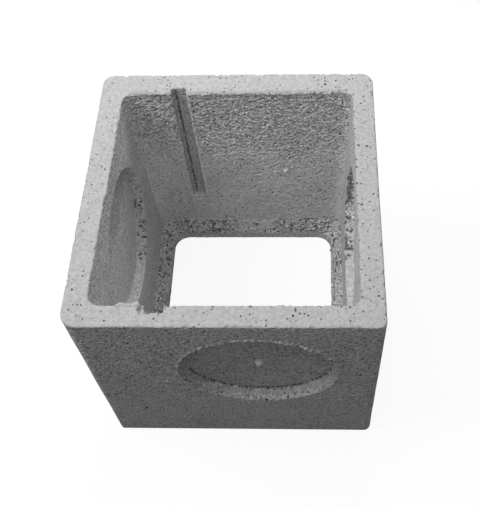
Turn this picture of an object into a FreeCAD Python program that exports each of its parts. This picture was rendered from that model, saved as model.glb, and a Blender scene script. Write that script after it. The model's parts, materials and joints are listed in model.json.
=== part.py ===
"""Square precast concrete chamber section: one casting, open at the top, with a large
opening through its base. Millimetres, +Z up, origin under the middle of the foot."""
import FreeCAD, Part
import os

os.makedirs("parts", exist_ok=True)

# Body. Corner radii run back right, back left, front left, front right.
WIDTH = 472.0          # across the rim, left to right
DEPTH = 480.0          # across the rim, front to back
HEIGHT = 472.0
FLARE_X = 6.5          # each side face leans out by this much at the foot
FLARE_Y = 8.5          # the front and back faces likewise
RIM_CORNERS = (22.0, 19.0, 24.0, 12.0)
FOOT_CORNERS = (12.0, 12.0, 6.0, 12.0)
ARRIS = 1.2            # worn edge round the outside of the rim

# Chamber. The inner mould sat a little towards the front.
CHAMBER_HALF_X = 200.5
CHAMBER_HALF_Y = 202.5
CHAMBER_Y = -3.2       # middle of the chamber
CHAMBER_CORNERS = (18.0, 30.0, 20.0, 18.0)
TAPER = 8.3            # each inner face comes in by this much over the full height
BED_TOP = 62.0         # top of the sloped bed round the base opening
LIP_TOP = 22.0         # top of the base opening's upright edge

# Base opening
OPENING_HALF_X = 173.0
OPENING_HALF_Y = 185.5
OPENING_CORNERS = (30.0, 30.0, 30.0, 30.0)

# Pipe knock-outs: round recesses where the wall is thin enough to break through
RECESS_Z = 297.0
RECESS_R = 130.0       # at the wall's surface
RECESS_FLOOR_R = 124.2
OUTER_RECESS_X = 43.2
OUTER_RECESS_DEPTH = 21.8
INNER_RECESS_Y = 5.0
INNER_RECESS_DEPTH = 18.0
NUB_R = 6.0            # core pin mark in the middle of an outer recess
NUB_TIP_R = 4.5
NUB_STAND = 3.0

# Slots for a dip plate, one in the front wall and one in the back wall
SLOT_X = -101.0
SLOT_WIDTH = 27.5
SLOT_DEPTH = 9.0
SLOT_BOTTOM = 156.0

OVER = 20.0            # how far cutting shapes run past the surface they cut


def rounded_rectangle(half_x, half_y, radii, z, mid_y=0.0):
    """Level wire at height z: a rectangle with its four corners rounded."""
    arcs = []
    for (sx, sy), r in zip(((1, 1), (-1, 1), (-1, -1), (1, -1)), radii):
        cx, cy = sx * (half_x - r), mid_y + sy * (half_y - r)
        on_x = FreeCAD.Vector(cx + sx * r, cy, z)
        on_y = FreeCAD.Vector(cx, cy + sy * r, z)
        half = r / 2 ** 0.5
        middle = FreeCAD.Vector(cx + sx * half, cy + sy * half, z)
        ends = (on_x, on_y) if sx == sy else (on_y, on_x)
        arcs.append((ends[0], middle, ends[1]))
    edges = []
    for i, (start, middle, end) in enumerate(arcs):
        edges.append(Part.Arc(start, middle, end).toShape())
        edges.append(Part.makeLine(end, arcs[(i + 1) % 4][0]))
    return Part.Wire(edges)


def loft(*wires):
    """Solid through level outlines, with straight sides between them."""
    return Part.makeLoft(list(wires), True, True)


def outer_body():
    """The plain flared block with the rim's outer edge worn."""
    x, y = WIDTH / 2, DEPTH / 2
    below = ARRIS / HEIGHT
    return loft(
        rounded_rectangle(x + FLARE_X, y + FLARE_Y, FOOT_CORNERS, 0),
        rounded_rectangle(
            x + FLARE_X * below, y + FLARE_Y * below, RIM_CORNERS, HEIGHT - ARRIS
        ),
        rounded_rectangle(x - ARRIS, y - ARRIS, [r - ARRIS for r in RIM_CORNERS], HEIGHT),
    )


def chamber_outline(z):
    """Outline of the tapered chamber at height z."""
    inset = TAPER * (1 - z / HEIGHT)
    return rounded_rectangle(
        CHAMBER_HALF_X - inset, CHAMBER_HALF_Y - inset, CHAMBER_CORNERS, z, CHAMBER_Y
    )


def opening_outline(z):
    """Outline of the base opening at height z."""
    return rounded_rectangle(
        OPENING_HALF_X, OPENING_HALF_Y, OPENING_CORNERS, z, CHAMBER_Y
    )


def core():
    """What the inner mould leaves empty: the chamber, the sloped bed and the opening."""
    chamber = loft(chamber_outline(BED_TOP), chamber_outline(HEIGHT + OVER))
    bed = loft(opening_outline(LIP_TOP), chamber_outline(BED_TOP))
    opening = loft(opening_outline(-OVER), opening_outline(LIP_TOP))
    return chamber.fuse([bed, opening])


def recess(mouth, inward, depth):
    """Shallow tapered disc cut square into a wall; mouth is the middle of its mouth."""
    start_r = RECESS_R + (RECESS_R - RECESS_FLOOR_R) * OVER / depth
    start = mouth - inward * OVER
    return Part.makeCone(start_r, RECESS_FLOOR_R, depth + OVER, start, inward)


def outer_recess(side):
    """Recess in the front (side -1) or back (side 1) outer face, with its core pin mark."""
    face = side * (DEPTH / 2 + FLARE_Y * (1 - RECESS_Z / HEIGHT))
    mouth = FreeCAD.Vector(OUTER_RECESS_X, face, RECESS_Z)
    inward = FreeCAD.Vector(0, -side, -FLARE_Y / HEIGHT).normalize()
    floor = mouth + inward * OUTER_RECESS_DEPTH
    nub = Part.makeCone(NUB_R, NUB_TIP_R, NUB_STAND, floor, inward * -1)
    return recess(mouth, inward, OUTER_RECESS_DEPTH).cut(nub)


def inner_recess(side):
    """Recess in the left (side -1) or right (side 1) inner face."""
    face = side * (CHAMBER_HALF_X - TAPER * (1 - RECESS_Z / HEIGHT))
    mouth = FreeCAD.Vector(face, INNER_RECESS_Y, RECESS_Z)
    inward = FreeCAD.Vector(side, 0, -TAPER / HEIGHT).normalize()
    return recess(mouth, inward, INNER_RECESS_DEPTH)


def slot(side):
    """Upright slot in the front (side -1) or back (side 1) inner face, open at the rim."""

    def face_y(z):
        return CHAMBER_Y + side * (CHAMBER_HALF_Y - TAPER * (1 - z / HEIGHT))

    top = HEIGHT + OVER
    inside = CHAMBER_Y + side * (CHAMBER_HALF_Y - OVER)
    left = SLOT_X - SLOT_WIDTH / 2
    outline = [
        FreeCAD.Vector(left, inside, SLOT_BOTTOM),
        FreeCAD.Vector(left, face_y(SLOT_BOTTOM) + side * SLOT_DEPTH, SLOT_BOTTOM),
        FreeCAD.Vector(left, face_y(top) + side * SLOT_DEPTH, top),
        FreeCAD.Vector(left, inside, top),
    ]
    face = Part.Face(Part.makePolygon(outline + outline[:1]))
    return face.extrude(FreeCAD.Vector(SLOT_WIDTH, 0, 0))


def chamber_ring():
    """The whole casting as one solid."""
    body = outer_body().cut(core())
    for side in (-1, 1):
        body = body.cut([outer_recess(side), inner_recess(side), slot(side)])
    return body.removeSplitter()


shape = chamber_ring()
if len(shape.Solids) != 1 or not shape.isValid():
    raise RuntimeError("the casting is not one valid solid")
shape.Solids[0].exportStep("parts/chamber_ring.step")
print("volume litres", round(shape.Volume / 1e6, 3))
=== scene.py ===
import json
import logging
import math
import random
from dataclasses import dataclass, field
from enum import Enum

import bpy
from mathutils import Matrix, Vector, kdtree, noise

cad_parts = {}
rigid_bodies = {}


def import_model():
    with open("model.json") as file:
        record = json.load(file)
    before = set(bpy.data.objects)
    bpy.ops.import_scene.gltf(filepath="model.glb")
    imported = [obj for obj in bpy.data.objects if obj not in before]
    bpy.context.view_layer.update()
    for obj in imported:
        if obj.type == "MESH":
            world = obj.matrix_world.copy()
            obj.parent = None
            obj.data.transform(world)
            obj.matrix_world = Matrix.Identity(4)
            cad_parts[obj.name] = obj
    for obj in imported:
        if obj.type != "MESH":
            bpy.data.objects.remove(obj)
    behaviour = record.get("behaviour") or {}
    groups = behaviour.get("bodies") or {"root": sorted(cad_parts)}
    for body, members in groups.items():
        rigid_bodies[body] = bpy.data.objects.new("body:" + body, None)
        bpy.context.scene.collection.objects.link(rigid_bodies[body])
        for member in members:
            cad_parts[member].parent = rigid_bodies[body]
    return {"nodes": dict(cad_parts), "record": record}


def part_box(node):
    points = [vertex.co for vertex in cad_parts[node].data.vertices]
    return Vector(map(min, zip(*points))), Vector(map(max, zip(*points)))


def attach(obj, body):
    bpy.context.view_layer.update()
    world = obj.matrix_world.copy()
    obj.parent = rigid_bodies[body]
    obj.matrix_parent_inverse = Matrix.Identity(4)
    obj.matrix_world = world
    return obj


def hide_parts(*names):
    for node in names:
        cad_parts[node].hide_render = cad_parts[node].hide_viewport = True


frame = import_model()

log = logging.getLogger("chamber_ring")
NODE = "chamber_ring"


# ---------------------------------------------------------------- small helpers


def linear(hex_colour: str) -> tuple[float, float, float, float]:
    """Turn an sRGB hex colour into linear light.

    Args:
        hex_colour: six hex digits with a leading hash.

    Returns:
        Red, green, blue and alpha, linear.
    """
    values = [int(hex_colour[i : i + 2], 16) / 255 for i in (1, 3, 5)]
    bent = [v / 12.92 if v <= 0.04045 else ((v + 0.055) / 1.055) ** 2.4 for v in values]
    return (bent[0], bent[1], bent[2], 1.0)


def ramp(value: float, low: float, high: float) -> float:
    """Go smoothly from 0 at low to 1 at high."""
    share = min(max((value - low) / (high - low), 0.0), 1.0)
    return share * share * (3.0 - 2.0 * share)


def make_active(obj: bpy.types.Object) -> None:
    """Select one object alone and make it the active one.

    Args:
        obj: the object.
    """
    bpy.ops.object.select_all(action="DESELECT")
    obj.select_set(True)
    bpy.context.view_layer.objects.active = obj


def apply_modifiers(obj: bpy.types.Object) -> None:
    """Apply every modifier of an object, top to bottom.

    Args:
        obj: the object.
    """
    make_active(obj)
    for modifier in list(obj.modifiers):
        bpy.ops.object.modifier_apply(modifier=modifier.name)


def remove_object(obj: bpy.types.Object) -> None:
    """Delete a helper object together with its mesh.

    Args:
        obj: the helper.
    """
    mesh = obj.data
    bpy.data.objects.remove(obj, do_unlink=True)
    bpy.data.meshes.remove(mesh)


# ---------------------------------------------------------------- measures


class Side(Enum):
    """The four sides of the ring, each with its outward direction."""

    FRONT = (0, -1)
    BACK = (0, 1)
    LEFT = (-1, 0)
    RIGHT = (1, 0)


@dataclass(frozen=True)
class Gauge:
    """Sizes read off the CAD casting, in metres.

    Attributes:
        high: highest corner of the casting's box.
        rim_edge: how far the rim's outer edges are from the middle, in x and y.
        chamber_low: lowest x and y of the chamber at the rim.
        chamber_high: highest x and y of the chamber at the rim.
        recess: middle of the outer recesses, as x and z.
        side_recess: middle of the inner recesses, as y and z.
        slot_x: middle of the two slots.
        mouth: radius of a recess at the wall's face.
        floor: radius of a recess at its floor.
        outer_depth: how deep the outer recesses are.
        inner_depth: how deep the inner recesses are.
        draft: how far a chamber wall leans in for each metre down.
        bed_top: height at which the sloped bed meets the walls.
        lip_top: height of the lip round the base opening.
        bed_run_x: how far the bed reaches in from the left and right walls.
        bed_run_y: how far it reaches in from the front and back walls.
        slot_half: half the width of a slot.
        slot_depth: how deep a slot is.
        slot_foot: height of a slot's closed end.
        slot_lip: how far beside a slot the middle of its raised right edge is.
    """

    high: Vector
    rim_edge: Vector
    chamber_low: Vector
    chamber_high: Vector
    recess: Vector
    side_recess: Vector
    slot_x: float
    mouth: float = 0.130
    floor: float = 0.1242
    outer_depth: float = 0.0218
    inner_depth: float = 0.018
    draft: float = 8.3 / 472.0
    bed_top: float = 0.062
    lip_top: float = 0.022
    bed_run_x: float = 0.0195
    bed_run_y: float = 0.0105
    slot_half: float = 0.01375
    slot_depth: float = 0.009
    slot_foot: float = 0.156
    slot_lip: float = 0.0012

    def inner(self, side: Side, along: float, z: float, depth: float = 0.0) -> Vector:
        """A point on a chamber wall.

        Args:
            side: which wall.
            along: its place across the wall, as x or y.
            z: its height.
            depth: how far it lies inside the concrete.

        Returns:
            The point.
        """
        x, y = side.value
        edge = self.chamber_high if x + y > 0 else self.chamber_low
        out = (x + y) * (depth - self.draft * (self.high.z - z))
        return Vector((edge.x + out, along, z)) if x else Vector((along, edge.y + out, z))

    def outer(self, side: Side, along: float, z: float, depth: float = 0.0) -> Vector:
        """A point on an outer face.

        Args:
            side: which face.
            along: its place across the face, as x or y.
            z: its height.
            depth: how far it lies inside the concrete.

        Returns:
            The point.
        """
        x, y = side.value
        top = self.rim_edge.x if x else self.rim_edge.y
        foot = self.high.x if x else self.high.y
        out = (x + y) * (foot + (top - foot) * z / self.high.z - depth)
        return Vector((out, along, z)) if x else Vector((along, out, z))

    def bed(self, side: Side, along: float, up: float, lift: float = 0.0) -> Vector:
        """A point on the sloped bed.

        Args:
            side: which wall the bed runs along.
            along: its place across the wall, as x or y.
            up: 0 at the bed's foot and 1 at its top.
            lift: how far it stands out of the bed.

        Returns:
            The point.
        """
        z = self.lip_top + 0.003 + (self.bed_top - self.lip_top) * up
        run = self.bed_run_y if side.value[1] else self.bed_run_x
        return self.inner(side, along, z, -run * (1 - up) - lift)

    def recess_side(self, side: Side, degrees: float, share: float) -> Vector:
        """A point on the sloping side of the recess in one wall.

        Args:
            side: which wall.
            degrees: angle up from the x or y axis.
            share: 0 at the recess's mouth and 1 at its floor.

        Returns:
            The point.
        """
        turn = math.radians(degrees)
        radius = self.mouth + (self.floor - self.mouth) * share
        middle = self.side_recess if side.value[0] else self.recess
        along = middle.x + radius * math.cos(turn)
        z = middle.y + radius * math.sin(turn)
        if side.value[0]:
            return self.inner(side, along, z, share * self.inner_depth)
        return self.outer(side, along, z, share * self.outer_depth)


def read_gauge(node: bpy.types.Object) -> Gauge:
    """Measure the CAD casting.

    Args:
        node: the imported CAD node.

    Returns:
        The sizes that the other classes place things by.
    """
    high = Vector(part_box(NODE)[1])
    points = [v.co for v in node.data.vertices]
    level, arris_low, arris_high = 1e-5, 0.003, 5e-4
    rim = [p for p in points if p.z > high.z - level]
    skirt = [p for p in points if high.z - arris_low < p.z < high.z - arris_high]
    boxes = {o["name"]: o["box_m"] for o in frame["record"]["physics"]["openings"]}
    middle = {name: (Vector(box[0]) + Vector(box[1])) / 2 for name, box in boxes.items()}
    slot_x = middle["back_slot"].x
    # The rim's inner edge lies within these distances of the middle.
    in_x, in_y, clear_of_slot = 0.208, 0.212, 0.03
    mouth = [p for p in rim if abs(p.x) < in_x and abs(p.y) < in_y]
    across = [p.x for p in mouth]
    along = [p.y for p in mouth if abs(p.x - slot_x) > clear_of_slot]
    return Gauge(
        high=high,
        rim_edge=Vector((max(p.x for p in skirt), max(p.y for p in skirt))),
        chamber_low=Vector((min(across), min(along))),
        chamber_high=Vector((max(across), max(along))),
        recess=Vector((middle["front_knockout"].x, middle["front_knockout"].z)),
        side_recess=Vector((middle["left_knockout"].y, middle["left_knockout"].z)),
        slot_x=slot_x,
    )


# ---------------------------------------------------------------- materials


class Finish(Enum):
    """The surfaces that one casting comes out of its mould with."""

    SHELL_FACE = 0
    CORE_FACE = 1
    CORE_COARSE = 2
    STRUCK_RIM = 3
    HONEYCOMB = 4
    CEMENT_SKIN = 5
    OPEN_HOLE = 6
    SLOT_FACE = 7
    SHELL_PLAIN = 8


def add_node(
    tree: bpy.types.NodeTree,
    kind: str,
    settings: dict[str, object] | None = None,
    inputs: dict[str | int, object] | None = None,
) -> bpy.types.Node:
    """Add one shader node.

    Args:
        tree: the material's node tree.
        kind: the node's type name.
        settings: properties to set on the node.
        inputs: socket name or index to a value, or to an output socket to link.

    Returns:
        The new node.
    """
    node = tree.nodes.new(kind)
    for name, value in (settings or {}).items():
        setattr(node, name, value)
    for key, value in (inputs or {}).items():
        if isinstance(value, bpy.types.NodeSocket):
            tree.links.new(value, node.inputs[key])
        else:
            node.inputs[key].default_value = value
    return node


@dataclass(frozen=True)
class Concrete:
    """A cast concrete surface.

    Attributes:
        name: what the material is and how its surface was made.
        dark: hex colour at the dark end of the tone: dark patches, and the low spots of the grain,
            darker as painted shade.
        light: hex colour at the pale end of the tone: pale patches, and the tops of the grain,
            paler as painted light.
        pit_share: share of the surface cells that hold an open air pit.
        pit_size: width of the widest small pits, in metres.
        peel: height of the pebbly relief about 5 mm wide, in metres.
        sand: height of the sand grain, in metres.
        calm: lowest height, highest height and how much of the relief is left at
            the lowest, because the mix settles smoother towards the foot.
        roughness: how matt it is.
        pit_shade_colour: hex colour of the painted shade in the depth of a pit.
        pit_depth: how deep a small pit looks, in metres.
    """

    name: str
    dark: str
    light: str
    pit_share: float
    pit_size: float
    peel: float
    sand: float
    calm: tuple[float, float, float] = (0.0, 0.4, 0.6)
    roughness: float = 0.94
    pit_shade_colour: str = "#262626"
    pit_depth: float = 0.0012

    def build(self) -> bpy.types.Material:
        """Make the material.

        Returns:
            A procedural material that reads object coordinates.
        """
        material = bpy.data.materials.new(self.name)
        material.use_nodes = True
        tree = material.node_tree
        tree.nodes.clear()
        place = add_node(tree, "ShaderNodeTexCoord").outputs["Object"]
        # Width of a patch in metres, and number of finer layers, of each pattern.
        # Real sand is finer, about 1 mm; it is drawn at 3 mm to show.
        patterns = ((0.110, 5.0), (0.012, 4.0), (0.0056, 0.5), (0.0032, 0.0))
        cloud, mottle, pebble, sand = (
            add_node(
                tree,
                "ShaderNodeTexNoise",
                inputs={"Vector": place, "Scale": 1.0 / size, "Detail": layers, "Roughness": 0.6},
            ).outputs["Fac"]
            for size, layers in patterns
        )
        pits = self._pits(tree, place)
        lowest, highest, least = self.calm
        height_z = add_node(
            tree, "ShaderNodeSeparateXYZ", inputs={"Vector": place}
        ).outputs["Z"]
        rough = add_node(
            tree,
            "ShaderNodeMapRange",
            {"interpolation_type": "SMOOTHSTEP"},
            {"Value": height_z, "From Min": lowest, "From Max": highest, "To Min": least},
        ).outputs["Result"]

        # The grain in the colour follows the relief's pebbles and sand: darker in the low spots and
        # paler on the tops, painted shade and painted light on top of the bump.
        fine = self._sum(tree, ((pebble, 1.3), (sand, 1.5)), -1.4)
        grain = add_node(
            tree, "ShaderNodeMath", {"operation": "MULTIPLY"}, {0: fine, 1: rough}
        ).outputs[0]
        tone = self._sum(tree, ((cloud, 0.55), (mottle, 0.5), (grain, 1.0)), -0.025)
        colour = add_node(tree, "ShaderNodeValToRGB", inputs={"Fac": tone})
        colour.color_ramp.elements[0].position = 0.12
        colour.color_ramp.elements[0].color = linear(self.dark)
        colour.color_ramp.elements[1].position = 0.88
        colour.color_ramp.elements[1].color = linear(self.light)
        # The pits are mixed towards a dark colour: painted shade in them.
        shade = add_node(
            tree,
            "ShaderNodeMix",
            {"data_type": "RGBA"},
            {"Factor": pits, 6: colour.outputs["Color"], 7: linear(self.pit_shade_colour)},
        ).outputs[2]

        relief = self._sum(tree, ((pebble, self.peel), (sand, self.sand)), 0.0)
        relief = add_node(
            tree, "ShaderNodeMath", {"operation": "MULTIPLY"}, {0: relief, 1: rough}
        ).outputs[0]
        height = self._sum(tree, ((pits, -self.pit_depth),), relief)
        bump = add_node(
            tree,
            "ShaderNodeBump",
            inputs={"Strength": 1.0, "Distance": 1.0, "Height": height},
        )
        shader = add_node(
            tree,
            "ShaderNodeBsdfPrincipled",
            inputs={
                "Base Color": shade,
                "Roughness": self.roughness,
                "IOR": 1.5,
                "Specular IOR Level": 0.25,
                "Normal": bump.outputs["Normal"],
            },
        )
        add_node(
            tree,
            "ShaderNodeOutputMaterial",
            inputs={"Surface": shader.outputs["BSDF"]},
        )
        return material

    def _sum(
        self,
        tree: bpy.types.NodeTree,
        parts: tuple[tuple[bpy.types.NodeSocket, float], ...],
        start: bpy.types.NodeSocket | float,
    ) -> bpy.types.NodeSocket:
        """Add weighted values.

        Args:
            tree: the node tree.
            parts: pairs of value socket and weight.
            start: what the sum starts from.

        Returns:
            The socket that carries the sum.
        """
        total: bpy.types.NodeSocket | float = start
        for value, weight in parts:
            total = add_node(
                tree,
                "ShaderNodeMath",
                {"operation": "MULTIPLY_ADD"},
                {0: value, 1: weight, 2: total},
            ).outputs[0]
        return total

    def _pits(
        self, tree: bpy.types.NodeTree, place: bpy.types.NodeSocket
    ) -> bpy.types.NodeSocket:
        """Open air pits: one in some of the cells of a scattered pattern.

        Args:
            tree: the node tree.
            place: the object coordinates.

        Returns:
            1 inside a pit and 0 outside.
        """
        # The coordinates waver by about 1 mm, so that no pit is a true circle.
        bend = 0.0032
        waver = add_node(
            tree,
            "ShaderNodeTexNoise",
            inputs={"Vector": place, "Scale": 320.0, "Detail": 1.0},
        ).outputs["Color"]
        bent = add_node(
            tree,
            "ShaderNodeVectorMath",
            {"operation": "MULTIPLY_ADD"},
            {0: waver, 1: (bend, bend, bend), 2: place},
        ).outputs["Vector"]
        # Cell width in metres, pit width as a share of pit_size, and share of the cells.
        layers = ((0.0060, 1.0, self.pit_share), (0.0130, 1.35, self.pit_share * 0.6))
        total: bpy.types.NodeSocket | None = None
        for spacing, width, share in layers:
            cells = add_node(
                tree,
                "ShaderNodeTexVoronoi",
                inputs={"Vector": bent, "Scale": 1.0 / spacing, "Randomness": 1.0},
            )
            pick = add_node(
                tree,
                "ShaderNodeSeparateColor",
                inputs={"Color": cells.outputs["Color"]},
            )
            reach = add_node(
                tree,
                "ShaderNodeMapRange",
                inputs={
                    "Value": pick.outputs["Red"],
                    "From Min": 1.0 - share,
                    "From Max": 1.0 - 0.5 * share,
                    "To Min": 0.0,
                    "To Max": 0.5 * self.pit_size * width / spacing,
                },
            ).outputs["Result"]
            inside = add_node(
                tree,
                "ShaderNodeMath",
                {"operation": "SUBTRACT"},
                {0: reach, 1: cells.outputs["Distance"]},
            ).outputs[0]
            mask = add_node(
                tree,
                "ShaderNodeMapRange",
                {"interpolation_type": "SMOOTHSTEP"},
                {"Value": inside, "From Min": -0.01, "From Max": 0.05},
            ).outputs["Result"]
            if total is None:
                total = mask
            else:
                total = add_node(
                    tree, "ShaderNodeMath", {"operation": "MAXIMUM"}, {0: total, 1: mask}
                ).outputs[0]
        return total


FINISHES: dict[Finish, Concrete] = {
    # Cast against the shell's hinged front: even grey, sandy, with scattered air pits.
    Finish.SHELL_FACE: Concrete(
        "concrete_cast_against_shell",
        "#9a9a9a",
        "#cecece",
        pit_share=0.42,
        pit_size=0.0033,
        peel=0.0036,
        sand=0.0019,
        calm=(0.10, 0.42, 0.74),
    ),
    # Cast against the collapsing core: paler and closed, with few pits.
    Finish.CORE_FACE: Concrete(
        "concrete_cast_against_core",
        "#aeaeae",
        "#dcdcdc",
        pit_share=0.24,
        pit_size=0.0026,
        peel=0.0014,
        sand=0.0009,
    ),
    # The side of the core that the mix fell against: pebbly, most so at the top.
    Finish.CORE_COARSE: Concrete(
        "concrete_cast_against_core_pebbly",
        "#b2b2b2",
        "#f8f8f8",
        pit_share=0.40,
        pit_size=0.0032,
        peel=0.0090,
        sand=0.0034,
        calm=(0.20, 0.42, 0.34),
    ),
    # Struck off level while wet and dried in the air: pale, with small black pits.
    Finish.STRUCK_RIM: Concrete(
        "concrete_struck_off_level",
        "#a6a6a6",
        "#b6b6b6",
        pit_share=0.42,
        pit_size=0.0027,
        peel=0.0004,
        sand=0.0005,
        roughness=0.95,
    ),
    # Dry mix that did not fill: stony, with painted shade between the lumps and painted light on
    # them.
    Finish.HONEYCOMB: Concrete(
        "concrete_underfilled_stony",
        "#b2b2b2",
        "#fafafa",
        pit_share=0.40,
        pit_size=0.0036,
        peel=0.0090,
        sand=0.0036,
        calm=(0.0, 0.02, 0.9),
        roughness=0.97,
    ),
    # The palest and closest of all: cement skin squeezed out along torn edges and on the plug, and
    # painted light on the up-facing fringes and the slot's raised edge.
    Finish.CEMENT_SKIN: Concrete(
        "concrete_cement_skin_and_painted_highlight",
        "#cacaca",
        "#f2f2f2",
        pit_share=0.10,
        pit_size=0.0022,
        peel=0.0030,
        sand=0.0016,
        roughness=0.90,
    ),
    # Inside of open holes, cracks and grooves: dark, a painted shade for the shade that falls in
    # them.
    Finish.OPEN_HOLE: Concrete(
        "concrete_painted_shade_in_open_holes",
        "#5c5c5c",
        "#9c9c9c",
        pit_share=0.30,
        pit_size=0.0030,
        peel=0.0050,
        sand=0.0024,
        roughness=0.98,
    ),
    # Cast against the shell's fixed sides: the same grey, smoother and with fewer pits.
    Finish.SHELL_PLAIN: Concrete(
        "concrete_cast_against_shell_plain",
        "#9a9a9a",
        "#cecece",
        pit_share=0.26,
        pit_size=0.0028,
        peel=0.0012,
        sand=0.0009,
    ),
    # The slot's faces: closed, with few pits, and a little darker than the wall.
    Finish.SLOT_FACE: Concrete(
        "concrete_slot_faces_darker",
        "#a0a0a0",
        "#cccccc",
        pit_share=0.14,
        pit_size=0.0026,
        peel=0.0014,
        sand=0.0009,
    ),
}


# ---------------------------------------------------------------- scatter


@dataclass
class Crumbs:
    """Lumps and bars in one scatter: mortar to join on, or chips to cut away.

    Attributes:
        seed: number that fixes the scatter.
        lumps: the lump objects made so far.
        dice: the scatter's own random numbers, made from the seed.
        master: the one lump that the others are copied from.
    """

    seed: int
    lumps: list[bpy.types.Object] = field(default_factory=list)

    def __post_init__(self) -> None:
        """Model the one lump that the others are copied from."""
        self.dice = random.Random(self.seed)
        bpy.ops.object.select_all(action="DESELECT")
        bpy.ops.mesh.primitive_ico_sphere_add(subdivisions=2, radius=1.0)
        self.master = bpy.context.object
        bpy.ops.object.mode_set(mode="EDIT")
        bpy.ops.mesh.select_all(action="SELECT")
        bpy.ops.transform.vertex_random(offset=0.30, uniform=0.7, seed=self.seed)
        bpy.ops.object.mode_set(mode="OBJECT")

    def put(self, place: Vector, size: float, flat: float = 0.75) -> None:
        """Copy one lump to a place.

        Args:
            place: where its middle goes.
            size: its half width, in metres.
            flat: its height as a share of its width.
        """
        dice = self.dice
        lump = self.master.copy()
        lump.data = self.master.data.copy()
        bpy.context.collection.objects.link(lump)
        axis = Vector([dice.gauss(0, 1) for _ in range(3)]).normalized()
        turn = Matrix.Rotation(dice.uniform(0, math.tau), 4, axis)
        wide, deep, tall = (dice.uniform(0.75, 1.3) for _ in range(3))
        stretch = Matrix.Diagonal((size * wide, size * deep, size * flat * tall, 1.0))
        lump.data.transform(Matrix.Translation(place) @ turn @ stretch)
        self.lumps.append(lump)

    def bar(self, start: Vector, end: Vector, width: float) -> None:
        """Lay a square bar from one point to another.

        Args:
            start: middle of its one end.
            end: middle of its other end.
            width: its width and thickness, in metres.
        """
        bpy.ops.object.select_all(action="DESELECT")
        bpy.ops.mesh.primitive_cube_add(size=1.0)
        rod = bpy.context.object
        span = end - start
        turn = span.to_track_quat("Z", "Y").to_matrix().to_4x4()
        stretch = Matrix.Diagonal((width, width, span.length, 1.0))
        rod.data.transform(Matrix.Translation((start + end) / 2) @ turn @ stretch)
        self.lumps.append(rod)

    def join(self) -> bpy.types.Object:
        """Make one object of all lumps.

        Returns:
            The joined lumps.
        """
        remove_object(self.master)
        make_active(self.lumps[0])
        for lump in self.lumps:
            lump.select_set(True)
        bpy.ops.object.join()
        return bpy.context.object


@dataclass(frozen=True)
class Hollow:
    """A pit pressed into the skin, or a hole cut into it.

    Attributes:
        place: its middle, on the surface.
        reach: its half width, or how far the painted shade in it reaches, in metres.
        depth: how deep it goes, in metres.
    """

    place: Vector
    reach: float
    depth: float


# ---------------------------------------------------------------- the casting


# The bed is stoniest along the back wall, so that wall is drawn twice as often.
BED_SIDES = (Side.BACK, Side.BACK, Side.LEFT, Side.RIGHT, Side.FRONT)
# How far the bed reaches along a wall, as x or y.
BED_SPAN = (-0.186, 0.184)
# Large pits in the back wall, as x and z.
LARGE_PITS = ((-0.043, 0.151), (-0.054, 0.151), (0.059, 0.086), (0.110, 0.435), (0.080, 0.417))
# Heights up to which the foot keeps its flat shape, under relief and under pits.
FLAT_FOOT = 0.0015
FLAT_FOOT_PITS = 0.004


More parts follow.
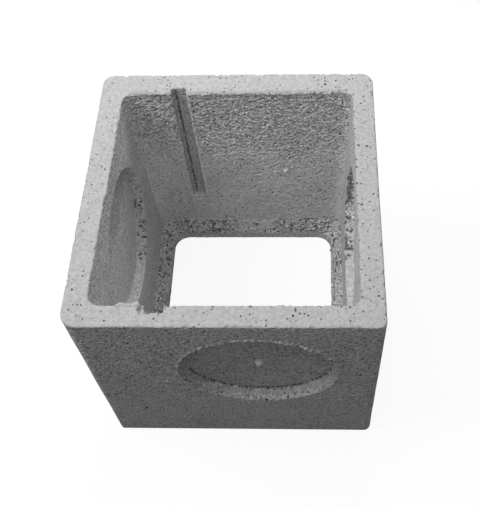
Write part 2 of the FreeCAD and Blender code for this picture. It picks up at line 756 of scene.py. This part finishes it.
@dataclass
class Casting:
    """The one-piece concrete ring, with its worn and crumbled surface.

    Attributes:
        gauge: sizes read off the CAD casting.
        voxel: edge of the grid that fuses body and crumbs, in metres.
        triangles: most triangles the finished piece may have.
        holes: the open holes and grooves cut so far, which are painted with shade.
    """

    gauge: Gauge
    voxel: float = 0.0017
    triangles: int = 195_000
    holes: list[Hollow] = field(default_factory=list)

    def build(self) -> bpy.types.Object:
        """Shape the casting and dress it.

        Returns:
            The finished piece.
        """
        body = self._blank()
        self._chip(body)
        self._add_crumbs(body)
        self._fuse(body)
        self._weather(body)
        self._press(body)
        self._thin(body)
        self._dress(body)
        return body

    def _blank(self) -> bpy.types.Object:
        """Copy the CAD casting and close its seams.

        Returns:
            A closed blank, at the casting's own place.
        """
        source = frame["nodes"][NODE]
        body = source.copy()
        body.data = source.data.copy()
        body.name = "casting"
        body.data.name = "casting"
        body.parent = None
        body.matrix_world = Matrix.Identity(4)
        bpy.context.collection.objects.link(body)
        body.data.materials.clear()
        make_active(body)
        bpy.ops.object.mode_set(mode="EDIT")
        bpy.ops.mesh.select_all(action="SELECT")
        bpy.ops.mesh.remove_doubles(threshold=1e-6)
        bpy.ops.object.mode_set(mode="OBJECT")
        return body

    def _chip(self, body: bpy.types.Object) -> None:
        """Knock out the broken places that undercut the surface.

        Args:
            body: the blank.
        """
        chips = Crumbs(seed=11)
        self._chip_mouth(chips)
        self._chip_bed(chips)
        self._chip_back_edge(chips)
        for side in (Side.FRONT, Side.BACK):
            self._chip_slot(chips, side)
            self._chip_seam(chips, side)
        self._chip_side_recesses(chips)
        self._chip_front_edge(chips)
        self._chip_corners(chips)
        cutter = chips.join()
        boolean = body.modifiers.new("chips", "BOOLEAN")
        boolean.operation = "DIFFERENCE"
        boolean.object = cutter
        boolean.solver = "EXACT"
        boolean.use_self = True
        apply_modifiers(body)
        remove_object(cutter)

    def _cut(self, chips: Crumbs, place: Vector, size: float) -> None:
        """Cut one open hole, and note it, so that it is painted with shade.

        Args:
            chips: the chips to add to.
            place: its middle, on the surface.
            size: its half width, in metres.
        """
        chips.put(place, size)
        self.holes.append(Hollow(place, size, size))

    def _cut_line(
        self, chips: Crumbs, start: Vector, end: Vector, width: float, shade_share: float = 0.60
    ) -> None:
        """Cut an open groove, and note it as a row of holes.

        Args:
            chips: the chips to add to.
            start: its one end, on the surface.
            end: its other end.
            width: its width, in metres.
            shade_share: how far the painted shade in it reaches, as a share of its width.
        """
        chips.bar(start, end, width)
        count = max(2, round((end - start).length / (0.3 * width)))
        # Each point of the row is painted with shade.
        for step in range(count + 1):
            place = start.lerp(end, step / count)
            self.holes.append(Hollow(place, shade_share * width, width))

    def _chip_mouth(self, chips: Crumbs) -> None:
        """Break the front slot's mouth wider than the slot, chamfered on the right.

        Args:
            chips: the chips to add to.
        """
        g = self.gauge
        half, deep = 0.018, 0.006
        for i in range(10):
            x = g.slot_x - half + i * 0.0042
            place = g.inner(Side.FRONT, x, g.high.z, deep + chips.dice.uniform(0, 0.002))
            chips.put(place, 0.0072)
        for i in range(4):
            x = g.slot_x + half + i * 0.0016
            chips.put(g.inner(Side.FRONT, x, g.high.z, deep - i * 0.0018), 0.0055)

    def _chip_seam(self, chips: Crumbs, side: Side) -> None:
        """Tear the seam between floor and side at the foot of an outer recess.

        Args:
            chips: the chips to add to.
            side: which wall the recess is in.
        """
        dice = chips.dice
        for _ in range(130):
            degrees = dice.uniform(198, 344)
            place = self.gauge.recess_side(side, degrees, dice.uniform(0.99, 1.04))
            self._cut(chips, place, dice.uniform(0.0018, 0.0032))

    def _chip_front_edge(self, chips: Crumbs) -> None:
        """Flake two stretches of the rim's front edge.

        Args:
            chips: the chips to add to.
        """
        g = self.gauge
        for x in (-0.127, -0.122, -0.117, -0.111, 0.026, 0.031, 0.037, 0.042, 0.047):
            place = g.outer(Side.FRONT, x, g.high.z - 0.0006)
            chips.put(place, chips.dice.uniform(0.0026, 0.0042), 0.4)

    def _chip_bed(self, chips: Crumbs) -> None:
        """Leave holes in the stony bed, painted dark with shade, fewest in the middle of each side.

        Args:
            chips: the chips to add to.
        """
        g = self.gauge
        dice = chips.dice
        middle, skipped = 0.06, 0.75
        for _ in range(260):
            side = dice.choice(list(Side))
            along = dice.uniform(-0.18, 0.18)
            if abs(along) < middle and dice.random() < skipped:
                continue
            z = g.lip_top + dice.uniform(0.004, 0.040)
            # A hole stands out less, the higher up the slope it is.
            depth = -0.012 if side.value[1] else -0.019
            depth *= 1.0 - (z - g.lip_top) / (g.bed_top - g.lip_top)
            self._cut(chips, g.inner(side, along, z, depth), dice.uniform(0.0020, 0.0048))

    def _chip_back_edge(self, chips: Crumbs) -> None:
        """Break the back rim's inner edge away.

        Args:
            chips: the chips to add to.
        """
        g = self.gauge
        from_left, from_right, width = 0.014, 0.010, 0.0076
        left = Vector((g.chamber_low.x + from_left, g.chamber_high.y, g.high.z))
        right = Vector((g.chamber_high.x - from_right, g.chamber_high.y, g.high.z))
        chips.bar(left, right, width)

    def _chip_slot(self, chips: Crumbs, side: Side) -> None:
        """Cut the marks of the slot's former: one line down and one across, both painted with shade
        inside.

        Args:
            chips: the chips to add to.
            side: which wall the slot is in.
        """
        g = self.gauge
        # The line down is a groove whose inside is painted with shade.
        x = g.slot_x - 0.0066
        deep = g.slot_depth + 0.0008
        top = g.high.z - 0.004
        start = g.inner(side, x, top, deep)
        end = g.inner(side, x, g.slot_foot + 0.004, deep)
        self._cut_line(chips, start, end, 0.0038, shade_share=0.46)
        half = 0.012
        start = g.inner(side, g.slot_x - half, top - 0.011, g.slot_depth)
        end = g.inner(side, g.slot_x + half, top - 0.013, g.slot_depth)
        self._cut_line(chips, start, end, 0.0030, shade_share=0.40)

    def _chip_side_recesses(self, chips: Crumbs) -> None:
        """Open the patch, the cracks and the pits beside the inner recesses.

        Args:
            chips: the chips to add to.
        """
        g = self.gauge
        dice = chips.dice
        # The honeycombed patch beside the right recess, and finer holes under it.
        for _ in range(70):
            degrees = dice.uniform(-28, 10)
            place = g.recess_side(Side.RIGHT, degrees, dice.uniform(-0.25, 0.5))
            self._cut(chips, place, dice.uniform(0.0026, 0.0052))
        for _ in range(26):
            degrees = dice.uniform(-78, -34)
            place = g.recess_side(Side.RIGHT, degrees, dice.uniform(-0.2, 0.8))
            self._cut(chips, place, dice.uniform(0.0020, 0.0036))
        # A wide crack through the patch, and a narrow one that turns into the recess.
        ends = [g.recess_side(Side.RIGHT, degrees, 0.15) for degrees in (6, -10, -24)]
        self._cut_line(chips, ends[0], ends[1], 0.0090)
        self._cut_line(chips, ends[1], ends[2], 0.0074)
        bends = ((-56, 0.1), (-68, 0.1), (-68, 0.8))
        crack = [g.recess_side(Side.RIGHT, degrees, share) for degrees, share in bends]
        for start, end in zip(crack, crack[1:]):
            self._cut_line(chips, start, end, 0.0046)
        # Pits down the side of the left recess.
        for _ in range(34):
            degrees = dice.uniform(-80, 4)
            place = g.recess_side(Side.LEFT, degrees, dice.uniform(0.0, 0.9))
            self._cut(chips, place, dice.uniform(0.0016, 0.0030))

    def _chip_corners(self, chips: Crumbs) -> None:
        """Nick the upright outer corners.

        Args:
            chips: the chips to add to.
        """
        g = self.gauge
        dice = chips.dice
        for _ in range(64):
            z = dice.uniform(0.01, 0.46)
            x_side = dice.choice((Side.LEFT, Side.RIGHT))
            y_side = dice.choice((Side.FRONT, Side.BACK))
            worn = 0.0020 + 0.0030 * z / g.high.z
            x = g.outer(x_side, 0.0, z, worn).x
            y = g.outer(y_side, 0.0, z, worn).y
            chips.put(Vector((x, y, z)), dice.uniform(0.0018, 0.0040))

    def _add_crumbs(self, body: bpy.types.Object) -> None:
        """Join lumps onto the edges where the mould tore the concrete.

        Args:
            body: the chipped blank.
        """
        crumbs = Crumbs(seed=5)
        self._rim_crumbs(crumbs)
        self._recess_crumbs(crumbs)
        self._bed_stones(crumbs)
        lumps = crumbs.join()
        make_active(body)
        lumps.select_set(True)
        bpy.ops.object.join()

    def _rim_crumbs(self, crumbs: Crumbs) -> None:
        """Lay the ragged fringe round the chamber's mouth.

        Args:
            crumbs: the lumps to add to.
        """
        g = self.gauge
        dice = crumbs.dice
        top = g.high.z
        for _ in range(900):
            x = dice.uniform(g.chamber_low.x + 0.010, g.chamber_high.x - 0.006)
            if abs(x - g.slot_x) < g.slot_half + 0.001:
                continue
            down = dice.random()
            reach = 0.0030 + 0.0034 * noise.noise(Vector((x * 42.0, 0.0, 7.0)))
            place = g.inner(Side.BACK, x, top - 0.0022 - reach * down, 0.0030 - 0.0042 * down)
            crumbs.put(place, dice.uniform(0.0010, 0.0024))
        # Gentle waves along the front half of the left edge.
        for _ in range(120):
            y = dice.uniform(g.chamber_low.y + 0.02, g.chamber_high.y - 0.02)
            place = g.inner(Side.LEFT, y, top - 0.0006 - abs(dice.gauss(0, 0.0008)), -0.0004)
            crumbs.put(place, dice.uniform(0.0009, 0.0016))
        # Teeth along its back half.
        for step in range(38):
            y = -0.010 + 0.0052 * step + dice.uniform(-0.0006, 0.0006)
            place = g.inner(Side.LEFT, y, top - 0.0018, -0.0018)
            crumbs.put(place, dice.uniform(0.0021, 0.0029), 0.6)
        # Loose lumps left of the front slot's mouth, and finer ones to the far right.
        for _ in range(46):
            x = g.slot_x + dice.uniform(-0.055, -0.021)
            place = g.inner(Side.FRONT, x, top - 0.001, dice.uniform(-0.004, 0.002))
            crumbs.put(place, dice.uniform(0.0016, 0.0034))
        for _ in range(60):
            x = dice.uniform(0.02, g.chamber_high.x - 0.004)
            place = g.inner(Side.FRONT, x, top - 0.0016, dice.uniform(-0.001, 0.001))
            crumbs.put(place, dice.uniform(0.0008, 0.0018))
        # Fine grit along the right edge.
        for _ in range(70):
            y = dice.uniform(-0.18, 0.17)
            place = g.inner(Side.RIGHT, y, top - dice.uniform(0.001, 0.004), 0.0004)
            crumbs.put(place, dice.uniform(0.0008, 0.0018))

    def _recess_crumbs(self, crumbs: Crumbs) -> None:
        """Lay the torn lips of the recesses and the odd lumps on the walls.

        Args:
            crumbs: the lumps to add to.
        """
        g = self.gauge
        dice = crumbs.dice
        for side in (Side.FRONT, Side.BACK):
            for _ in range(680):
                degrees = dice.uniform(-25, 205)
                coarse = ramp(degrees, 8, 30) * (1.0 - ramp(degrees, 60, 80))
                place = g.recess_side(side, degrees, dice.uniform(-0.08, 0.07))
                crumbs.put(place, dice.uniform(0.0010, 0.0018 + 0.0018 * coarse))
            # Cement skin stuck on the plug in the middle of the recess's floor.
            for lift in (0.0024, 0.0040, 0.0048):
                middle = g.outer(side, g.recess.x, g.recess.y, g.outer_depth - lift)
                crumbs.put(middle, 0.0054, 0.9)
            # Loose grit that rolled down onto the recess's lower side.
            for _ in range(60):
                degrees = dice.uniform(215, 345)
                place = g.recess_side(side, degrees, dice.uniform(0.0, 1.0))
                crumbs.put(place, dice.uniform(0.0008, 0.0017))
            for degrees, size in ((258, 0.0052), (274, 0.0042), (306, 0.0050), (313, 0.0036)):
                crumbs.put(g.recess_side(side, degrees, 0.55), size, 1.0)
            self._slot_crumbs(crumbs, side)
        # Rough lower back side of each inner recess.
        for side in (Side.LEFT, Side.RIGHT):
            for _ in range(170):
                place = g.recess_side(side, dice.uniform(-78, 8), dice.uniform(-0.05, 1.0))
                crumbs.put(place, dice.uniform(0.0010, 0.0028))
        for degrees, size in ((-37, 0.0054), (-40, 0.0042), (-34, 0.0036)):
            crumbs.put(g.recess_side(Side.LEFT, degrees, 0.0), size)
        # A tie-pin mark on the back chamber wall, and a flake on the front face.
        crumbs.put(g.inner(Side.BACK, 0.0796, 0.2435), 0.0050, 0.7)
        for step in range(3):
            crumbs.put(g.outer(Side.FRONT, -0.115 + 0.003 * step, 0.255 + 0.001 * step), 0.0026)

    def _slot_crumbs(self, crumbs: Crumbs, side: Side) -> None:
        """Add the raised right edge of a slot and the rough patch under its foot.

        Args:
            crumbs: the lumps to add to.
            side: which wall the slot is in.
        """
        g = self.gauge
        dice = crumbs.dice
        edge = g.slot_x + g.slot_half + g.slot_lip
        start = g.inner(side, edge, g.high.z - 0.008)
        crumbs.bar(start, g.inner(side, edge, g.slot_foot + 0.002), 0.0038)
        for _ in range(34):
            x = g.slot_x + dice.uniform(-0.012, 0.015)
            place = g.inner(side, x, g.slot_foot - dice.uniform(-0.001, 0.013), 0.0002)
            crumbs.put(place, dice.uniform(0.0012, 0.0030))

    def _bed_stones(self, crumbs: Crumbs) -> None:
        """Scatter the stones of the rough bed over the base opening.

        Args:
            crumbs: the lumps to add to.
        """
        g = self.gauge
        dice = crumbs.dice
        for _ in range(900):
            side = dice.choice(BED_SIDES)
            along = dice.uniform(*BED_SPAN)
            if noise.noise(Vector((along * 14.0, side.value[0], side.value[1]))) < -0.12:
                continue
            place = g.bed(side, along, dice.random(), lift=0.0003)
            # The stones are largest towards the corners.
            largest = 0.0024 + 0.0022 * ramp(abs(along), 0.03, 0.11)
            crumbs.put(place, dice.uniform(0.0014, largest))

    def _fuse(self, body: bpy.types.Object) -> None:
        """Fuse body and lumps into one closed skin.

        Args:
            body: the blank with its lumps.
        """
        remesh = body.modifiers.new("fuse", "REMESH")
        remesh.mode = "VOXEL"
        remesh.voxel_size = self.voxel
        remesh.use_smooth_shade = True
        apply_modifiers(body)
        self._keep_skin(body)

    def _keep_skin(self, body: bpy.types.Object) -> None:
        """Keep the one skin that the foot belongs to, and drop closed bubbles in it.

        Args:
            body: the fused casting.
        """
        mesh = body.data
        before = len(mesh.vertices)
        bpy.ops.object.mode_set(mode="EDIT")
        bpy.ops.mesh.select_mode(type="VERT")
        bpy.ops.mesh.select_all(action="DESELECT")
        bpy.ops.object.mode_set(mode="OBJECT")
        min(mesh.vertices, key=lambda vertex: vertex.co.x + vertex.co.y + vertex.co.z).select = True
        bpy.ops.object.mode_set(mode="EDIT")
        bpy.ops.mesh.select_linked()
        bpy.ops.mesh.select_all(action="INVERT")
        bpy.ops.mesh.delete(type="VERT")
        bpy.ops.object.mode_set(mode="OBJECT")
        log.info("points off the skin dropped: %d", before - len(mesh.vertices))

    def _relief(self, place: Vector, normal: Vector) -> float:
        """How far a point of the skin stands out or lies back.

        Args:
            place: the point.
            normal: the skin's direction there.

        Returns:
            The move along the normal, in metres.
        """
        g = self.gauge
        height = place.z
        wave = 0.0007 * noise.noise(place * 14.0)
        in_width, back, skin = abs(place.x) < 0.214, 0.2045, 0.006
        inside = in_width and g.chamber_low.y - skin < place.y < back
        on_rim = normal.z > 0.7 and height > g.high.z - 0.004
        on_back_wall = inside and normal.y < -0.5 and place.y > 0.15
        if on_rim:
            return 0.00025 * noise.noise(place * 60.0) + 0.0002 * noise.noise(place * 170.0)
        if inside and height < g.bed_top + 0.004:
            return wave + 0.0010 * noise.fractal(place * 130.0, 1.0, 2.0, 3)
        if on_back_wall:
            # Pebbly, with creases between the pebbles, and most so at the top.
            pebbles = noise.fractal(place * 190.0, 1.0, 2.0, 2)
            rough = 0.3 + 0.7 * ramp(height, 0.18, 0.36)
            creases = max(0.10 - abs(noise.noise(place * Vector((110.0, 110.0, 170.0)))), 0.0)
            return wave + rough * (0.0007 * pebbles - 0.0085 * creases)
        if inside:
            return 0.7 * wave
        return wave

    def _weather(self, body: bpy.types.Object) -> None:
        """Move the skin's points by its relief; the foot stays flat.

        Args:
            body: the fused casting.
        """
        mesh = body.data
        count = len(mesh.vertices)
        points = [0.0] * (count * 3)
        normals = [0.0] * (count * 3)
        mesh.vertices.foreach_get("co", points)
        mesh.vertices.foreach_get("normal", normals)
        for i in range(0, count * 3, 3):
            if points[i + 2] < FLAT_FOOT:
                continue
            place = Vector(points[i : i + 3])
            normal = Vector(normals[i : i + 3])
            points[i : i + 3] = place + normal * self._relief(place, normal)
        mesh.vertices.foreach_set("co", points)
        mesh.update()

    def _hollows(self) -> list[Hollow]:
        """Choose where air pits and nicks go.

        Returns:
            The pits of every face.
        """
        g = self.gauge
        dice = random.Random(23)
        found: list[Hollow] = []

        def add(place: Vector, small: float, large: float, steep: float = 0.8) -> None:
            """Note one pit, more often a small one than a large one.

            Args:
                place: its middle.
                small: least half width, in metres.
                large: most half width, in metres.
                steep: its depth as a share of its half width.
            """
            reach = small + (large - small) * dice.random() ** 2
            found.append(Hollow(place, reach, reach * steep))

        # The back wall, with more pits the higher up.
        for _ in range(190):
            z = 0.07 + 0.39 * dice.random() ** 0.8
            add(g.inner(Side.BACK, dice.uniform(-0.19, 0.19), z), 0.0022, 0.0044, 1.0)
        # Holes between the stones of the bed.
        for _ in range(420):
            side = dice.choice(BED_SIDES)
            up = dice.random()
            place = g.bed(side, dice.uniform(*BED_SPAN), up)
            add(place, 0.0024, 0.0056, 1.2)
        for side in (Side.LEFT, Side.RIGHT, Side.FRONT):
            for _ in range(70):
                place = g.inner(side, dice.uniform(-0.18, 0.18), dice.uniform(0.07, 0.46))
                add(place, 0.0020, 0.0034)
        for side in Side:
            for _ in range(120):
                z = dice.uniform(0.02, 0.45)
                add(g.outer(side, dice.uniform(-0.225, 0.225), z), 0.0020, 0.0040)
            # Nicks along the rim's outer edge and down the corners.
            for _ in range(26):
                along = dice.uniform(-0.22, 0.22)
                add(g.outer(side, along, g.high.z - 0.0005), 0.0022, 0.0050, 0.5)
        # Pinholes in the rim's level face.
        for _ in range(260):
            side = dice.choice(list(Side))
            along = dice.uniform(-0.22, 0.22)
            inset = dice.uniform(0.006, 0.030)
            place = g.outer(side, along, g.high.z, inset)
            add(place, 0.0017, 0.0025, 1.0)
        # Pits down the rough sides of the inner recesses.
        for side in (Side.LEFT, Side.RIGHT):
            for _ in range(90):
                place = g.recess_side(side, dice.uniform(-75, 60), dice.uniform(0.0, 1.0))
                add(place, 0.0020, 0.0044, 1.1)
        for x, z in LARGE_PITS:
            add(g.inner(Side.BACK, x, z), 0.0042, 0.0050)
        return found

    def _press(self, body: bpy.types.Object) -> None:
        """Press the pits into the skin.

        Args:
            body: the weathered casting.
        """
        mesh = body.data
        tree = kdtree.KDTree(len(mesh.vertices))
        for vertex in mesh.vertices:
            tree.insert(vertex.co, vertex.index)
        tree.balance()
        moves: dict[int, Vector] = {}
        for hollow in self._hollows():
            for place, index, distance in tree.find_range(hollow.place, hollow.reach):
                if place.z < FLAT_FOOT_PITS:
                    continue
                fade = 1.0 - (distance / hollow.reach) ** 2
                normal = mesh.vertices[index].normal
                moves[index] = place - normal * (hollow.depth * fade)
        for index, place in moves.items():
            mesh.vertices[index].co = place
        mesh.update()

    def _thin(self, body: bpy.types.Object) -> None:
        """Spend the triangles where the shape needs them.

        Args:
            body: the weathered casting.
        """
        now = 2 * len(body.data.polygons)
        decimate = body.modifiers.new("thin", "DECIMATE")
        decimate.ratio = min(1.0, self.triangles / now)
        decimate.use_collapse_triangulate = True
        apply_modifiers(body)
        make_active(body)
        bpy.ops.object.shade_smooth()
        weighted = body.modifiers.new("even", "WEIGHTED_NORMAL")
        weighted.keep_sharp = True
        weighted.weight = 80
        apply_modifiers(body)

    def _finish_at(self, place: Vector, normal: Vector) -> Finish:
        """The finish of one face of the skin.

        Args:
            place: the face's middle.
            normal: the face's direction.

        Returns:
            Its finish.
        """
        g = self.gauge
        in_width, skin = abs(place.x) < 0.216, 0.009
        inside = in_width and g.chamber_low.y - skin < place.y < g.chamber_high.y + skin
        from_top = g.high.z - place.z
        if normal.z > 0.35 and from_top < 0.004:
            return Finish.STRUCK_RIM
        from_pin = math.hypot(place.x - g.recess.x, place.z - g.recess.y)
        if from_pin < 0.0075 and abs(normal.y) < 0.985 and abs(place.y) > 0.218:
            return Finish.CEMENT_SKIN
        if not inside:
            return Finish.SHELL_FACE if place.y < -0.215 else Finish.SHELL_PLAIN
        # Pale fringes, partly cement skin and partly painted light, and the slot's raised edge, a
        # painted highlight.
        if self._gets_palest_finish(place, normal):
            return Finish.CEMENT_SKIN
        if from_top < 0.014 and place.y < g.chamber_low.y + 0.010:
            return Finish.STRUCK_RIM
        if g.lip_top < place.z < g.bed_top + 0.002:
            at_end = abs(place.x) > 0.052 + 0.02 * noise.noise(place * 40.0)
            return Finish.HONEYCOMB if at_end else Finish.CORE_COARSE
        span = math.hypot(place.y - g.side_recess.x, place.z - g.side_recess.y)
        at_side = abs(place.x) > 0.190 and abs(normal.x) < 0.9
        stony = place.x > 0.0 and place.y > 0.0 and -0.080 < place.z - g.side_recess.y < 0.022
        if at_side and g.floor - 0.002 < span < g.mouth + 0.003 and stony:
            return Finish.HONEYCOMB
        in_slot = abs(place.x - g.slot_x) < g.slot_half + 0.0005 and place.z > g.slot_foot
        if in_slot and place.y > g.inner(Side.BACK, place.x, place.z, 0.0025).y:
            return Finish.SLOT_FACE
        if place.y > 0.17 and normal.y < -0.4:
            return Finish.CORE_COARSE
        return Finish.CORE_FACE

    def _gets_palest_finish(self, place: Vector, normal: Vector) -> bool:
        """Tell whether a face inside the chamber gets the palest finish, partly cement skin and
        partly painted light.

        Args:
            place: the face's middle.
            normal: the face's direction.

        Returns:
            True on the rim's fringes, pale partly as cement skin and partly as painted light on
            faces that face up, on the slot's raised right edge, where the pale colour is a painted
            highlight, and on the patch under the slot's foot.
        """
        g = self.gauge
        from_top = g.high.z - place.z
        # Rim fringe faces that face up are painted palest: partly cement skin, partly painted
        # light.
        if from_top < 0.014 and place.y > g.chamber_high.y - 0.005 and normal.z > -0.25:
            at_slot = abs(place.x - g.slot_x) < g.slot_half
            return not at_slot and (from_top < 0.004 or normal.z > 0.15)
        # Up-facing faces along the left rim edge: likewise partly painted light.
        if from_top < 0.005 and place.x < g.chamber_low.x + 0.006 and normal.z > 0.0:
            return True
        wall = g.inner(Side.BACK, place.x, place.z).y
        off = place.x - g.slot_x
        # The slot's raised right edge is painted palest: a painted highlight along the edge.
        on_edge = abs(off - g.slot_half - g.slot_lip) < 0.0026 and place.z > g.slot_foot
        under = abs(off) < 0.016 and 0.0 < g.slot_foot - place.z < 0.015
        return (on_edge or under) and wall - 0.006 < place.y < wall - 0.0005

    def _dress(self, body: bpy.types.Object) -> None:
        """Give each part of the skin its finish.

        Args:
            body: the finished shape.
        """
        for finish in Finish:
            body.data.materials.append(FINISHES[finish].build())
        tree = kdtree.KDTree(len(self.holes))
        for index, hole in enumerate(self.holes):
            tree.insert(hole.place, index)
        tree.balance()
        # The painted shade reaches a little past the edge of a hole.
        past = 1.05
        for face in body.data.polygons:
            finish = self._finish_at(face.center, face.normal)
            _, index, distance = tree.find(face.center)
            if distance < past * self.holes[index].reach:
                # Faces in and round a hole get a dark colour: painted shade.
                finish = Finish.OPEN_HOLE
            face.material_index = finish.value


# ---------------------------------------------------------------- the studio


@dataclass(frozen=True)
class Lamp:
    """A square soft lamp that points at the casting.

    Attributes:
        name: what it is.
        place: where it hangs, in metres.
        size: its width, in metres.
        watts: its power.
    """

    name: str
    place: tuple[float, float, float]
    size: float
    watts: float


LAMPS = (
    Lamp("key_left", (-1.3, -0.1, 2.2), 1.0, 29.5),
    Lamp("fill_front", (-0.2, -0.9, 2.8), 1.2, 12.0),
    Lamp("fill_right", (1.2, 0.2, 2.2), 2.4, 6.5),
    Lamp("rim_back", (0.1, 0.8, 1.35), 0.6, 8.0),
)


@dataclass(frozen=True)
class Studio:
    """Plain pale floor, soft lamps and the camera.

    Attributes:
        eye: where the camera stands, in metres.
        pitch: how far it looks down, in degrees.
        yaw: how far it turns to the right, in degrees.
        roll: how far it leans, in degrees.
        lens: focal length for a 36 mm wide frame, in millimetres.
        shift: lens shift to the right and up, as shares of the frame.
        fill: strength of the even light from all round.
        floor_size: width of the floor, in metres.
        floor_drop: how far it lies under the casting's foot, in metres.
        aim: the point that the lamps are turned to, in metres.
    """

    eye: tuple[float, float, float] = (0.12488, -0.66653, 1.45926)
    pitch: float = 58.020
    yaw: float = -4.155
    roll: float = 3.642
    lens: float = 53.363
    shift: tuple[float, float] = (-0.0789, -0.0759)
    fill: float = 0.14
    floor_size: float = 16.0
    floor_drop: float = 0.0005
    aim: tuple[float, float, float] = (0.0, 0.0, 0.3)

    def build(self) -> None:
        """Set up floor, light and camera."""
        self._floor()
        self._world()
        self._lamps()
        self._camera()

    def _floor(self) -> None:
        """Lay the floor, white to the eye and grey to the light that bounces off it."""
        bpy.ops.object.select_all(action="DESELECT")
        bpy.ops.mesh.primitive_plane_add(size=self.floor_size, location=(0, 0, -self.floor_drop))
        floor = bpy.context.object
        floor.name = "studio_floor"
        bpy.ops.object.transform_apply(location=True, rotation=True, scale=True)
        material = bpy.data.materials.new("studio_paper_white")
        material.use_nodes = True
        tree = material.node_tree
        tree.nodes.clear()
        path = add_node(tree, "ShaderNodeLightPath")
        seen = path.outputs["Is Camera Ray"]
        for kind in ("Is Glossy Ray", "Is Transmission Ray"):
            seen = add_node(
                tree,
                "ShaderNodeMath",
                {"operation": "MAXIMUM"},
                {0: seen, 1: path.outputs[kind]},
            ).outputs[0]
        glow = add_node(tree, "ShaderNodeEmission", inputs={"Strength": 1.05})
        paper = add_node(
            tree, "ShaderNodeBsdfDiffuse", inputs={"Color": linear("#f4f4f4")}
        )
        dull = add_node(
            tree, "ShaderNodeBsdfDiffuse", inputs={"Color": linear("#8c8c8c")}
        )
        bright = add_node(
            tree,
            "ShaderNodeMixShader",
            inputs={0: 0.86, 1: paper.outputs[0], 2: glow.outputs[0]},
        )
        either = add_node(
            tree,
            "ShaderNodeMixShader",
            inputs={0: seen, 1: dull.outputs[0], 2: bright.outputs[0]},
        )
        add_node(
            tree, "ShaderNodeOutputMaterial", inputs={"Surface": either.outputs[0]}
        )
        floor.data.materials.append(material)

    def _world(self) -> None:
        """Fill the room with even, weak light, and show the eye a white wall."""
        world = bpy.data.worlds.new("studio")
        bpy.context.scene.world = world
        world.use_nodes = True
        tree = world.node_tree
        tree.nodes.clear()
        path = add_node(tree, "ShaderNodeLightPath")
        white = (1.0, 1.0, 1.0, 1.0)
        walls = add_node(
            tree, "ShaderNodeBackground", inputs={"Color": white, "Strength": self.fill}
        )
        backdrop = add_node(
            tree, "ShaderNodeBackground", inputs={"Color": white, "Strength": 1.0}
        )
        both = add_node(
            tree,
            "ShaderNodeMixShader",
            inputs={
                0: path.outputs["Is Camera Ray"],
                1: walls.outputs[0],
                2: backdrop.outputs[0],
            },
        )
        add_node(tree, "ShaderNodeOutputWorld", inputs={"Surface": both.outputs[0]})

    def _lamps(self) -> None:
        """Hang the soft lamps, each turned towards the casting."""
        for lamp in LAMPS:
            light = bpy.data.lights.new(lamp.name, "AREA")
            light.shape = "SQUARE"
            light.size = lamp.size
            light.energy = lamp.watts
            holder = bpy.data.objects.new(lamp.name, light)
            place = Vector(lamp.place)
            turn = (Vector(self.aim) - place).to_track_quat("-Z", "Y")
            holder.matrix_world = Matrix.Translation(place) @ turn.to_matrix().to_4x4()
            bpy.context.collection.objects.link(holder)

    def _camera(self) -> None:
        """Place the camera."""
        pitch, yaw, roll = (math.radians(v) for v in (self.pitch, self.yaw, self.roll))
        ahead = Vector(
            (
                math.sin(yaw) * math.cos(pitch),
                math.cos(yaw) * math.cos(pitch),
                -math.sin(pitch),
            )
        )
        level = Vector((math.cos(yaw), -math.sin(yaw), 0))
        down = ahead.cross(level)
        right = math.cos(roll) * level + math.sin(roll) * down
        up = math.sin(roll) * level - math.cos(roll) * down
        turn = Matrix((right, up, -ahead)).transposed().to_4x4()
        lens = bpy.data.cameras.new("camera")
        lens.sensor_width = 36.0
        lens.lens = self.lens
        lens.shift_x, lens.shift_y = self.shift
        lens.clip_start = 0.05
        camera = bpy.data.objects.new("camera", lens)
        camera.matrix_world = Matrix.Translation(Vector(self.eye)) @ turn
        bpy.context.collection.objects.link(camera)
        bpy.context.scene.camera = camera


# ---------------------------------------------------------------- build


def main() -> None:
    """Build the casting and the studio."""
    logging.basicConfig(level=logging.INFO, format="%(name)s: %(message)s")
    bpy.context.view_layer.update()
    gauge = read_gauge(frame["nodes"][NODE])
    log.info("chamber %s to %s", gauge.chamber_low, gauge.chamber_high)

    casting = Casting(gauge).build()
    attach(casting, "root")
    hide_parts(NODE)
    log.info("casting: %d faces", len(casting.data.polygons))

    Studio().build()
    bpy.context.scene.view_settings.view_transform = "Standard"


if __name__ == "__main__":
    main()
